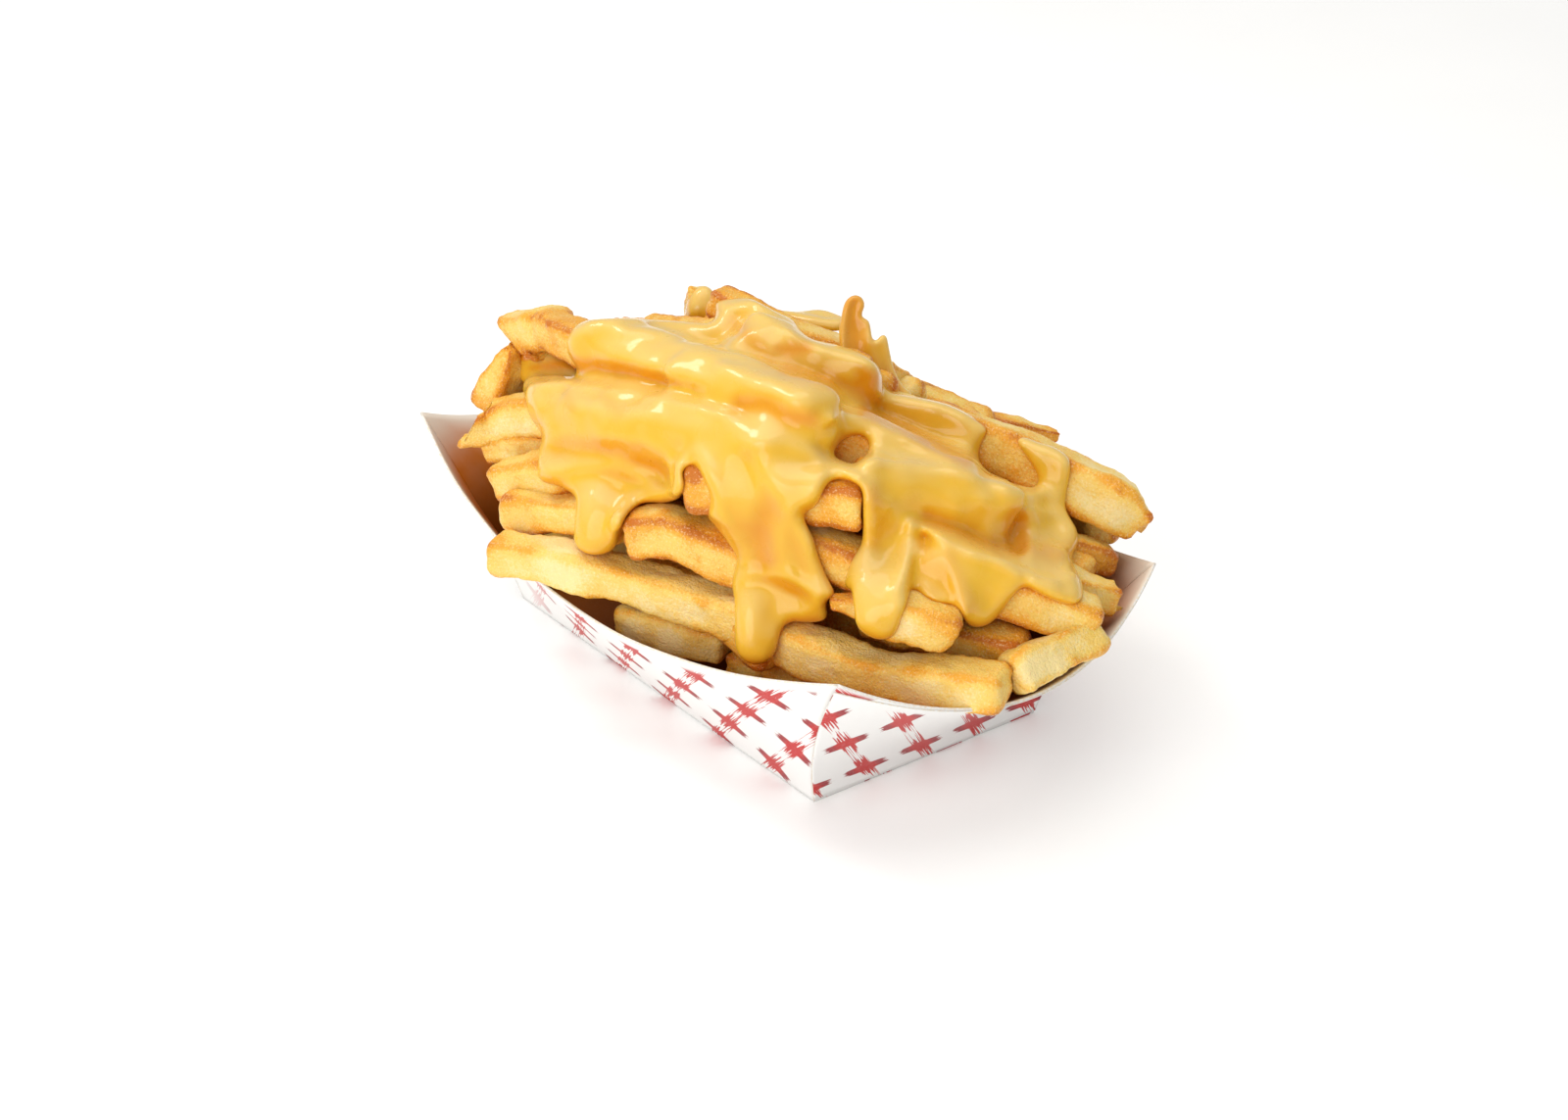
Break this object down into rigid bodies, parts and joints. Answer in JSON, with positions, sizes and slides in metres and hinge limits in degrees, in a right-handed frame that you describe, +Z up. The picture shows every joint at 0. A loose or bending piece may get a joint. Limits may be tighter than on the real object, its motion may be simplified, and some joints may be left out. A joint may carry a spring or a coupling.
{
  "type": "cheese fries",
  "caption": "Cheese fries: a heap of thick-cut fried potato sticks under poured cheese sauce in a folded, red-checked paper tray.",
  "frame": {"origin": "middle of the tray's flat underside", "axes": "+Z is up out of the tray, +X runs along the tray's length towards its short wall at the right of the picture, and -Y faces the long wall that the picture shows"},
  "size_m": [0.185, 0.1321, 0.0892],
  "materials": {
    "printed_board": "thin off-white paper board with a dry-brushed red check print on its outside",
    "fried_potato": "deep-fried potato crust, golden with browner edges, slightly blistered and oily",
    "cheese_sauce": "smooth, glossy orange-yellow melted cheese sauce"
  },
  "bodies": {
    "root": {"tray": "printed_board", "fries": "fried_potato", "cheese_sauce": "cheese_sauce"}
  },
  "joints": []
}
